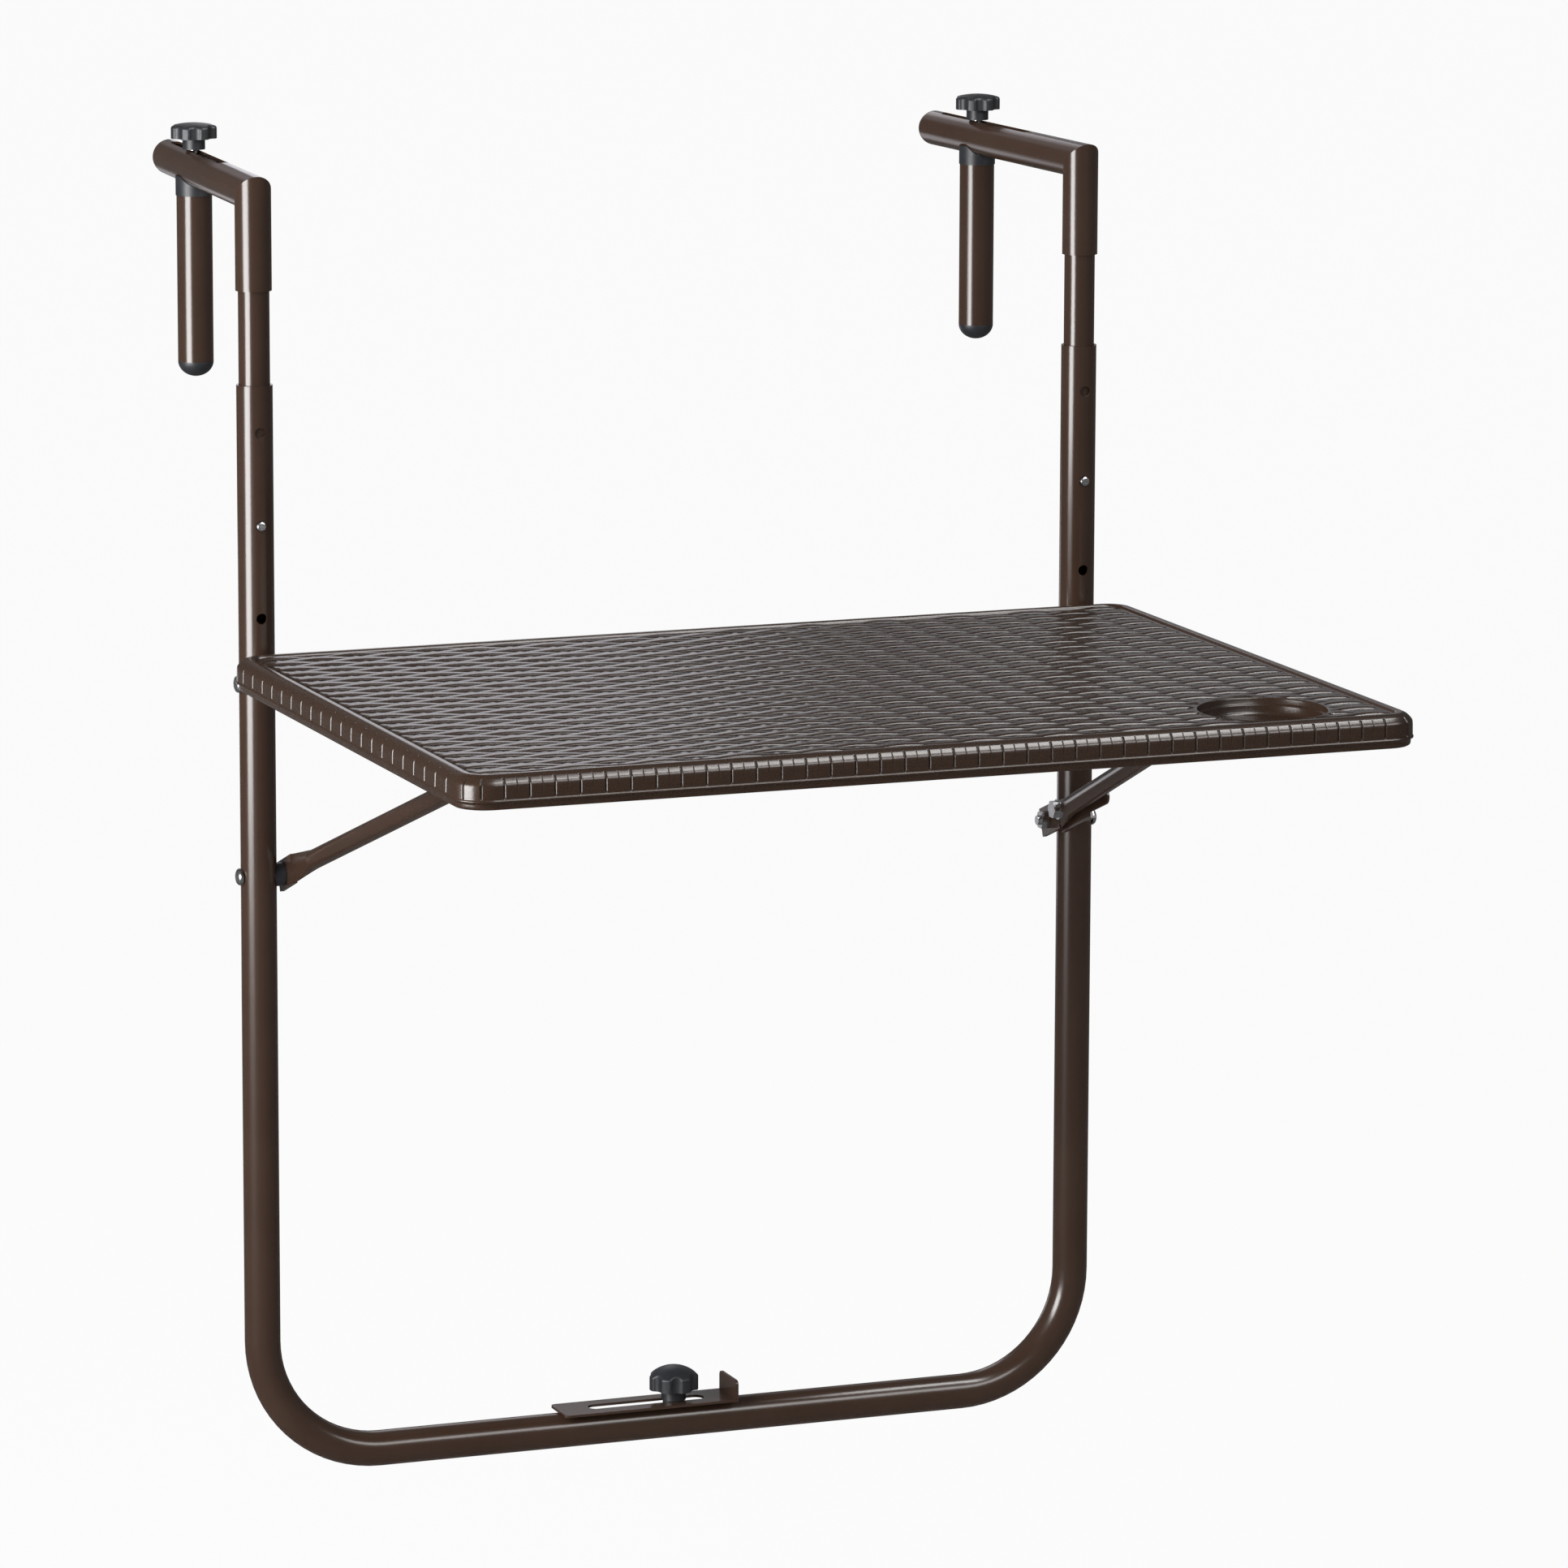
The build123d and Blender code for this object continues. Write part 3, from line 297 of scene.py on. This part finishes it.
def add_field(build):
    """The woven field on a grid. Gives its border loop and the points on the edge of the cup's hole."""
    inset = RIM_SECTION[0][0] + FIELD_GAP
    half_x, half_y = HALF_WIDTH - inset, HALF_DEPTH - inset
    radius = CORNER_R - inset
    gx = marks_between(half_x, 0.0, STAKE_PITCH, STAKE_MARKS)
    first_row = (ROW_ORIGIN - CENTRE_Y) % ROW_PITCH
    gy = marks_between(half_y, first_row, ROW_PITCH, [share * ROW_PITCH / 2 for share in ROW_MARKS])
    grid_x, grid_y = np.meshgrid(gx, gy)
    # The field's corners are rounded to meet the gutter.
    core_x = np.clip(grid_x, -half_x + radius, half_x - radius)
    core_y = np.clip(grid_y, -half_y + radius, half_y - radius)
    away_x, away_y = grid_x - core_x, grid_y - core_y
    reach = np.hypot(away_x, away_y)
    square = np.maximum(np.abs(away_x), np.abs(away_y))
    pull = np.where(reach > 1e-9, square / np.maximum(reach, 1e-9), 1.0)
    field_x = core_x + away_x * pull
    field_y = core_y + away_y * pull + CENTRE_Y
    # The weave fades into the border and into a smooth margin round the cup.
    drop = weave_height(field_x, field_y)
    edge = np.minimum(half_x - np.abs(grid_x), half_y - np.abs(grid_y))
    fade = smoothstep(edge / BORDER_FADE)
    level = TOP_Z - CREST_GAP - (drop * fade + BORDER_DROP * (1.0 - fade))
    cup_away = np.hypot(field_x - CUP_X, field_y - CUP_Y)
    cup_fade = smoothstep((cup_away - CUP_R - CUP_MARGIN) / CUP_FADE)
    cup_level = TOP_Z - CREST_GAP - CUP_SINK
    level = level * cup_fade + cup_level * (1.0 - cup_fade)
    # Painted shade: the colour darkens with the drop below the crest and is darkest in the gaps; the cup's
    # margin takes a plain level.
    depth_shade = np.clip(1.0 - drop / SHADE_DEPTH_RANGE, 0.0, 1.0)
    depth_shade = depth_shade * cup_fade + MARGIN_SHADE * (1.0 - cup_fade)
    # Cells that reach into the cup are left out, and the points at their border drawn onto a circle.
    cup_edge = CUP_R + CUP_MARGIN
    inside = cup_away < cup_edge
    cut_cell = inside[:-1, :-1] | inside[1:, :-1] | inside[:-1, 1:] | inside[1:, 1:]
    used = cell_corners(~cut_cell)
    hole = cell_corners(cut_cell) & used
    ratio = np.where(hole, cup_edge / np.maximum(cup_away, 1e-6), 1.0)
    field_x = np.where(hole, CUP_X + (field_x - CUP_X) * ratio, field_x)
    field_y = np.where(hole, CUP_Y + (field_y - CUP_Y) * ratio, field_y)
    level = np.where(hole, cup_level, level)
    index = np.full(inside.shape, -1)
    index[used] = build.add(
        np.column_stack([field_x[used], field_y[used], level[used]]), depth_shade[used])
    for j, i in zip(*np.nonzero(~cut_cell)):
        build.faces.append([int(index[j, i]), int(index[j, i + 1]),
                            int(index[j + 1, i + 1]), int(index[j + 1, i])])
    border = np.concatenate([index[0, :-1], index[:-1, -1], index[-1, :0:-1], index[:0:-1, 0]])
    return border, index[hole]


def add_cup(build, hole):
    """Cup recess: a rounded edge, a wall with a ledge, and a dished floor."""
    offsets = np.array(build.verts)[hole][:, :2] - [CUP_X, CUP_Y]
    hole_at = np.arctan2(offsets[:, 1], offsets[:, 0]) / (2 * math.pi)
    order = np.argsort(hole_at)
    angles = full_turn(CUP_AROUND)
    rings = [build.add(circle(CUP_X, CUP_Y, ring_r, TOP_Z - drop, angles), CUP_SHADE)
             for ring_r, drop in CUP_SECTION]
    build.zipper(hole[order], hole_at[order], rings[0], angles / (2 * math.pi))
    for outer, inner in zip(rings, rings[1:]):
        build.strip(outer, inner)
    build.faces.append([int(v) for v in rings[-1]])


def add_underside(build, last):
    """A flat underside round a vent hole."""
    angles = full_turn(VENT_AROUND)
    rings = [build.add(circle(0.0, CENTRE_Y, ring_r, level, angles), VENT_SHADE)
             for ring_r, level in VENT_SECTION]
    build.zipper(*placed(build, last), rings[0], angles / (2 * math.pi), flip=True)
    for outer, inner in zip(rings, rings[1:]):
        build.strip(outer, inner, flip=True)
    build.faces.append([int(v) for v in rings[-1][::-1]])


def build_table():
    build = Builder()
    loops = add_rim(build)
    border, hole = add_field(build)
    build.zipper(*placed(build, loops[0]), *placed(build, border))
    add_cup(build, hole)
    add_underside(build, loops[-1])
    obj = new_object("woven_panel", build.verts, build.faces)
    # The level of painted shade goes to the material as a point attribute.
    shade_layer = obj.data.attributes.new("depth_shade", "FLOAT", "POINT")
    shade_layer.data.foreach_set("value", np.array(build.depth_shade, np.float32))
    return obj


# Leg pockets: sloped room for the legs in the underside when the table hangs folded.
LEG_X, LEG_R = 270.0, 11.0
POCKET_RISE, POCKET_LENGTH, POCKET_HALF = 8.843, 101.08, 12.5
POCKET_OVERCUT = 4.0
# Points this near to a pocket, or to the underside, take the underside's level of painted shade.
POCKET_SIDE_REACH, POCKET_END_REACH, POCKET_TOP = 0.5, 1.0, TOP_Z - 10.0
UNDERSIDE_REACH = 0.05
# Faces that look down more squarely than this are shaded flat.
DOWNWARD = -0.9999


def pocket_wedges():
    """One wedge for each leg, larger than the pocket where it leaves the panel."""
    slope = POCKET_RISE / POCKET_LENGTH
    rear_y = POCKET_OVERCUT - LEG_R
    low_z = BOTTOM_Z - POCKET_OVERCUT
    end_y = -LEG_R - POCKET_LENGTH - POCKET_OVERCUT / slope
    section = ((rear_y, low_z), (rear_y, BOTTOM_Z + POCKET_RISE + slope * POCKET_OVERCUT), (end_y, low_z))
    verts, faces = [], []
    for leg_x in (-LEG_X, LEG_X):
        start = len(verts)
        for x in (leg_x - POCKET_HALF, leg_x + POCKET_HALF):
            verts += [(x, y, z) for y, z in section]
        faces += [[start + k for k in face] for face in
                  ((2, 1, 0), (3, 4, 5), (1, 4, 3, 0), (2, 5, 4, 1), (0, 3, 5, 2))]
    return new_object("pocket_wedges", verts, faces, smooth=False)


def cut_leg_pockets(obj):
    """Cuts the wedges out of the panel, and leaves neither modifier nor wedges behind."""
    wedges = pocket_wedges()
    cut = obj.modifiers.new("pockets", "BOOLEAN")
    cut.operation = "DIFFERENCE"
    cut.solver = "MANIFOLD"
    cut.object = wedges
    whole = obj.data
    obj.data = bpy.data.meshes.new_from_object(obj.evaluated_get(bpy.context.evaluated_depsgraph_get()))
    obj.modifiers.clear()
    obj.data.materials.clear()
    bpy.data.meshes.remove(whole)
    bpy.data.meshes.remove(wedges.data)


def finish_underside(obj):
    """Gives the pockets and the underside their level of painted shade, and shades the underside flat."""
    count = len(obj.data.vertices)
    places = np.empty(3 * count, np.float32)
    obj.data.vertices.foreach_get("co", places)
    x, y, z = places.reshape(-1, 3).T / MM
    depth_shade = np.empty(count, np.float32)
    layer = obj.data.attributes["depth_shade"].data
    layer.foreach_get("value", depth_shade)
    at_pocket = (np.abs(np.abs(x) - LEG_X) < POCKET_HALF + POCKET_SIDE_REACH) & (z < POCKET_TOP)
    depth_shade[at_pocket & (y > -LEG_R - POCKET_LENGTH - POCKET_END_REACH)] = UNDERSIDE_SHADE
    depth_shade[z < BOTTOM_Z + UNDERSIDE_REACH] = UNDERSIDE_SHADE
    layer.foreach_set("value", depth_shade)
    faces = obj.data.polygons
    facing = np.empty(3 * len(faces), np.float32)
    faces.foreach_get("normal", facing)
    smooth = np.empty(len(faces), bool)
    faces.foreach_get("use_smooth", smooth)
    faces.foreach_set("use_smooth", smooth & (facing[2::3] > DOWNWARD))


# Materials.
def material(name):
    mat = bpy.data.materials.new(name)
    mat.use_nodes = True
    tree = mat.node_tree
    shader = tree.nodes["Principled BSDF"]
    return mat, tree, shader


def add_node(tree, kind, **values):
    node = tree.nodes.new(kind)
    for key, value in values.items():
        if key in node.inputs:
            node.inputs[key].default_value = value
        else:
            setattr(node, key, value)
    return node


def object_noise(tree, scale, detail=2.0, stretch=None):
    """Noise in the object's own frame, so that it moves with the piece."""
    place = add_node(tree, "ShaderNodeTexCoord")
    source = place.outputs["Object"]
    if stretch is not None:
        mapping = add_node(tree, "ShaderNodeMapping")
        mapping.inputs["Scale"].default_value = stretch
        tree.links.new(source, mapping.inputs["Vector"])
        source = mapping.outputs["Vector"]
    noise = add_node(tree, "ShaderNodeTexNoise", Scale=scale, Detail=detail)
    tree.links.new(source, noise.inputs["Vector"])
    return noise.outputs["Fac"]


def ramp(tree, source, stops):
    node = add_node(tree, "ShaderNodeValToRGB")
    elements = node.color_ramp.elements
    while len(elements) < len(stops):
        elements.new(0.5)
    for element, (place, colour) in zip(elements, stops):
        element.position = place
        element.color = (*colour, 1.0)
    tree.links.new(source, node.inputs["Fac"])
    return node.outputs["Color"]


def span(tree, source, low, high, start=0.3, end=0.7):
    node = add_node(tree, "ShaderNodeMapRange")
    node.inputs["From Min"].default_value = start
    node.inputs["From Max"].default_value = end
    node.inputs["To Min"].default_value = low
    node.inputs["To Max"].default_value = high
    tree.links.new(source, node.inputs["Value"])
    return node.outputs["Result"]


def bump(tree, shader, sources):
    """Stacks bumps of (height, strength, distance) into the shader's normal."""
    normal = None
    for height, strength, distance in sources:
        node = add_node(tree, "ShaderNodeBump", Strength=strength, Distance=distance)
        tree.links.new(height, node.inputs["Height"])
        if normal is not None:
            tree.links.new(normal, node.inputs["Normal"])
        normal = node.outputs["Normal"]
    tree.links.new(normal, shader.inputs["Normal"])


def powder_coat():
    mat, tree, shader = material("powder_coat")
    patches = object_noise(tree, 22.0, 3.0)
    colour = ramp(tree, patches, ((0.25, (0.06, 0.032, 0.021)), (0.75, (0.07, 0.04, 0.027))))
    tree.links.new(colour, shader.inputs["Base Color"])
    peel = object_noise(tree, 700.0, 1.0)
    grain = object_noise(tree, 2600.0, 2.0)
    tree.links.new(span(tree, grain, 0.18, 0.25), shader.inputs["Roughness"])
    shader.inputs["Specular IOR Level"].default_value = 0.5
    bump(tree, shader, ((peel, 0.02, 0.0002), (grain, 0.03, 0.0001)))
    return mat


def woven_plastic():
    mat, tree, shader = material("woven_plastic")
    # Painted shade: the colour darkens from the crests into the weave's gaps and the rim's grooves, by the
    # level of painted shade.
    layer = add_node(tree, "ShaderNodeAttribute", attribute_name="depth_shade")
    depth = ramp(tree, layer.outputs["Fac"],
                 ((0.1, (0.012, 0.008, 0.006)), (0.5, (0.038, 0.023, 0.016)), (0.9, (0.054, 0.029, 0.0175))))
    streak = object_noise(tree, 40.0, 4.0, (1.0, 26.0, 26.0))
    tint = ramp(tree, streak, ((0.3, (0.86, 0.86, 0.86)), (0.7, (1.1, 1.1, 1.1))))
    mix = add_node(tree, "ShaderNodeMix", data_type="RGBA", blend_type="MULTIPLY")
    mix.inputs["Factor"].default_value = 1.0
    tree.links.new(depth, mix.inputs["A"])
    tree.links.new(tint, mix.inputs["B"])
    tree.links.new(mix.outputs["Result"], shader.inputs["Base Color"])
    grain = object_noise(tree, 1900.0, 2.0)
    tree.links.new(span(tree, grain, 0.22, 0.3), shader.inputs["Roughness"])
    bump(tree, shader, ((streak, 0.12, 0.0004), (grain, 0.08, 0.0001)))
    return mat


def black_plastic():
    mat, tree, shader = material("black_plastic")
    patches = object_noise(tree, 60.0, 3.0)
    colour = ramp(tree, patches, ((0.3, (0.024, 0.026, 0.031)), (0.7, (0.034, 0.036, 0.042))))
    tree.links.new(colour, shader.inputs["Base Color"])
    grain = object_noise(tree, 1600.0, 3.0)
    tree.links.new(span(tree, grain, 0.38, 0.5), shader.inputs["Roughness"])
    bump(tree, shader, ((grain, 0.08, 0.0001),))
    return mat


def zinc_steel():
    mat, tree, shader = material("zinc_steel")
    patches = object_noise(tree, 300.0, 3.0)
    colour = ramp(tree, patches, ((0.3, (0.55, 0.55, 0.56)), (0.7, (0.7, 0.7, 0.71))))
    tree.links.new(colour, shader.inputs["Base Color"])
    shader.inputs["Metallic"].default_value = 1.0
    lines = object_noise(tree, 220.0, 3.0, (1.0, 12.0, 12.0))
    tree.links.new(span(tree, lines, 0.18, 0.34), shader.inputs["Roughness"])
    bump(tree, shader, ((lines, 0.1, 0.0001),))
    return mat


finishes = {
    "brown_powder_coat": powder_coat(),
    "woven_plastic": woven_plastic(),
    "black_plastic": black_plastic(),
    "bright_steel": zinc_steel(),
}
for node in nodes.values():
    for place in node.material_slots:
        place.material = finishes[place.material.name.split(".")[0]]

panel = build_table()
cut_leg_pockets(panel)
finish_underside(panel)
panel.data.materials.append(finishes["woven_plastic"])
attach(panel, "table")
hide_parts("table_top")


# Rolled edges of the holes in the legs, three to a leg, facing the front.
HOLE_LEVELS = (-133.0, -189.5, -246.0)
LIP_R, LIP_HALF, LIP_RISE = 3.66, 0.46, 0.45
LIP_AROUND, LIP_SECTION = 40, 10


def build_hole_lips():
    build = Builder()
    around = np.arange(LIP_AROUND) / LIP_AROUND * 2 * math.pi
    for leg_x in (-LEG_X, LEG_X):
        for level in HOLE_LEVELS:
            rings = []
            for angle in np.arange(LIP_SECTION) / LIP_SECTION * 2 * math.pi:
                ring_r = LIP_R + LIP_HALF * math.cos(angle)
                x = ring_r * np.cos(around)
                y = -np.sqrt(LEG_R**2 - x**2) - LIP_RISE * math.sin(angle)
                z = level + ring_r * np.sin(around)
                rings.append(build.add(np.column_stack([leg_x + x, y, z])))
            for k, ring in enumerate(rings):
                build.strip(ring, rings[(k + 1) % LIP_SECTION], flip=True)
    return new_object("leg_hole_lips", build.verts, build.faces)


lips = build_hole_lips()
lips.data.materials.append(finishes["brown_powder_coat"])
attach(lips, "frame")


# Camera, as the photograph was taken.
FRAME_PX = 1932.0
SENSOR = 36.0
FOCAL_PX = 10104.15
AZIMUTH, ELEVATION, ROLL = -0.371704, 0.185362, 0.003364
CAMERA_AT = Vector((-1750.507, -4688.954, 569.932)) * MM


def view_axes():
    forward = Vector((-math.sin(AZIMUTH) * math.cos(ELEVATION), math.cos(AZIMUTH) * math.cos(ELEVATION),
                      -math.sin(ELEVATION)))
    right = Vector((math.cos(AZIMUTH), math.sin(AZIMUTH), 0.0))
    up = right.cross(forward)
    turned_right = right * math.cos(ROLL) + up * math.sin(ROLL)
    turned_up = up * math.cos(ROLL) - right * math.sin(ROLL)
    return turned_right, turned_up, forward


right, up, forward = view_axes()
camera_data = bpy.data.cameras.new("camera")
camera_data.sensor_width = SENSOR
camera_data.sensor_fit = "HORIZONTAL"
camera_data.lens = FOCAL_PX / FRAME_PX * SENSOR
camera_data.clip_end = 100.0
camera = bpy.data.objects.new("camera", camera_data)
scene.collection.objects.link(camera)
turned = Matrix((right, up, -forward)).transposed().to_4x4()
camera.matrix_world = Matrix.Translation(CAMERA_AT) @ turned
scene.camera = camera

# Floor and soft studio light.
FLOOR_Z, FLOOR_HALF = -1.01, 40.0
floor_mesh = bpy.data.meshes.new("floor")
floor_mesh.from_pydata(
    [(-FLOOR_HALF, -FLOOR_HALF, FLOOR_Z), (FLOOR_HALF, -FLOOR_HALF, FLOOR_Z),
     (FLOOR_HALF, FLOOR_HALF, FLOOR_Z), (-FLOOR_HALF, FLOOR_HALF, FLOOR_Z)], [], [(0, 1, 2, 3)])
floor = bpy.data.objects.new("floor", floor_mesh)
scene.collection.objects.link(floor)


# The background is white to the camera and through glass, and dimmer in gloss.
GLOSSY_LEVEL = 0.1
DIFFUSE_LEVEL = 0.4
FLOOR_SHARE = 0.94


def math_node(tree, operation, first, second):
    node = add_node(tree, "ShaderNodeMath", operation=operation)
    for place, value in zip(node.inputs, (first, second)):
        if isinstance(value, float):
            place.default_value = value
        else:
            tree.links.new(value, place)
    return node.outputs[0]


def background_level(tree):
    """Which rays show the plain background, and how bright it is to them."""
    path = add_node(tree, "ShaderNodeLightPath")
    glossy = path.outputs["Is Glossy Ray"]
    direct = math_node(tree, "MAXIMUM", path.outputs["Is Camera Ray"], path.outputs["Is Transmission Ray"])
    shown = math_node(tree, "MAXIMUM", direct, glossy)
    bright = math_node(tree, "MAXIMUM", direct, math_node(tree, "MULTIPLY", glossy, GLOSSY_LEVEL))
    return shown, bright


floor_mat, tree, shader = material("floor_paint")
shader.inputs["Base Color"].default_value = (0.8, 0.8, 0.8, 1.0)
shader.inputs["Roughness"].default_value = 1.0
shader.inputs["Specular IOR Level"].default_value = 0.0
glow = add_node(tree, "ShaderNodeEmission")
blend = add_node(tree, "ShaderNodeMixShader")
shown, bright = background_level(tree)
tree.links.new(math_node(tree, "MULTIPLY", shown, FLOOR_SHARE), blend.inputs["Fac"])
tree.links.new(bright, glow.inputs["Strength"])
tree.links.new(shader.outputs["BSDF"], blend.inputs[1])
tree.links.new(glow.outputs["Emission"], blend.inputs[2])
tree.links.new(blend.outputs["Shader"], tree.nodes["Material Output"].inputs["Surface"])
floor_mesh.materials.append(floor_mat)

world = bpy.data.worlds.new("studio")
scene.world = world
world.use_nodes = True
tree = world.node_tree
sky = tree.nodes["Background"]
sky.inputs["Color"].default_value = (1.0, 1.0, 1.0, 1.0)
shown, bright = background_level(tree)
ambient = math_node(tree, "MULTIPLY", math_node(tree, "SUBTRACT", 1.0, shown), DIFFUSE_LEVEL)
tree.links.new(math_node(tree, "ADD", ambient, bright), sky.inputs["Strength"])


def softbox(name, at, target, width, height, radiance, colour=(1.0, 1.0, 1.0)):
    lamp = bpy.data.lights.new(name, "AREA")
    lamp.shape = "RECTANGLE"
    lamp.size = width
    lamp.size_y = height
    lamp.energy = radiance * math.pi * width * height
    lamp.color = colour
    obj = bpy.data.objects.new(name, lamp)
    scene.collection.objects.link(obj)
    obj.visible_camera = False
    aim = (Vector(target) - Vector(at)).normalized()
    obj.matrix_world = Matrix.Translation(at) @ aim.to_track_quat("-Z", "Y").to_matrix().to_4x4()
    return obj


def reflected_only(obj):
    """A strip that shows as a streak in gloss, and leaves the plain level of light as it is."""
    obj.visible_diffuse = False


def diffuse_only(obj):
    """A lamp that lights the surfaces, and shows in no gloss."""
    obj.visible_glossy = False


COOL = (0.96, 0.94, 1.0)
diffuse_only(softbox("key_fill", (-2.4, -1.0, 0.7), (0.0, -0.15, -0.35), 1.6, 1.6, 7.5))
reflected_only(softbox("left_strip", (-1.55, -0.62, -0.32), (0.0, -0.1, -0.32), 0.9, 0.66, 19.0))
reflected_only(softbox("top_bank", (0.71, -1.02, 1.51), (0.0, -0.465, -0.27), 1.8, 0.42, 15.0))
reflected_only(softbox("front_bank", (0.8, -1.8, 0.72), (0.0, 0.0, -0.8), 1.6, 0.58, 7.5))
reflected_only(softbox("rear_card", (0.5, 1.9, 0.42), (0.0, -0.1, -0.1), 0.52, 1.05, 1.4, COOL))
reflected_only(softbox("rear_left_card", (-0.03, 1.9, 0.72), (0.0, -0.1, -0.1), 0.5, 0.45, 0.42, COOL))
reflected_only(softbox("rear_right_card", (1.3, 1.9, 0.3), (0.0, -0.1, -0.1), 0.8, 0.8, 0.36, COOL))
reflected_only(softbox("brace_card", (-0.2, 1.9, -0.68), (0.26, -0.1, -0.36), 0.6, 0.36, 1.4, COOL))

scene.view_settings.view_transform = "Standard"
